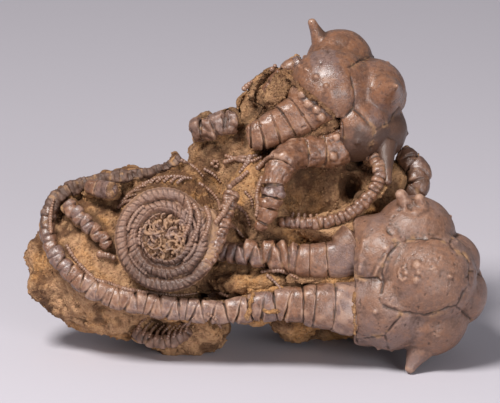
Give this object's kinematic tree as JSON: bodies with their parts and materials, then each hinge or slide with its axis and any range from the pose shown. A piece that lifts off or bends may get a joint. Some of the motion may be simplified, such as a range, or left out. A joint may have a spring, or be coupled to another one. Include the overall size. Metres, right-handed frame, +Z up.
{
  "type": "fossil crinoid",
  "caption": "Fossil crinoid specimen: spiny sea lily cups with jointed, coiled arms, lying in a lump of tan sandstone.",
  "frame": {"origin": "centre of the specimen's bounding box in plan, on the floor that it rests on", "axes": "+Z up from the base; +X along the specimen's length, from the free ends of the arms to the cups; -Y towards the face that shows the fossils"},
  "size_m": [0.129, 0.0669, 0.0923],
  "materials": {
    "sandstone": "coarse, crumbly tan and ochre sandstone with dark brown patches",
    "fossil_calcite": "semi-gloss brown calcite with purple-grey and orange tints, paler on worn edges"
  },
  "bodies": {
    "root": {"rock": "sandstone", "lower_cup": "fossil_calcite", "upper_cup": "fossil_calcite", "lower_front_arm": "fossil_calcite", "lower_middle_arm": "fossil_calcite", "coiled_arm": "fossil_calcite", "inner_arm": "fossil_calcite", "arm_stub": "fossil_calcite", "under_arm": "fossil_calcite", "upper_left_arm": "fossil_calcite", "upper_hanging_arm": "fossil_calcite", "upper_top_arm": "fossil_calcite", "looped_arm": "fossil_calcite", "broken_arm": "fossil_calcite", "rear_arm": "fossil_calcite", "upper_back_arm": "fossil_calcite", "lower_back_arm": "fossil_calcite"}
  },
  "joints": []
}
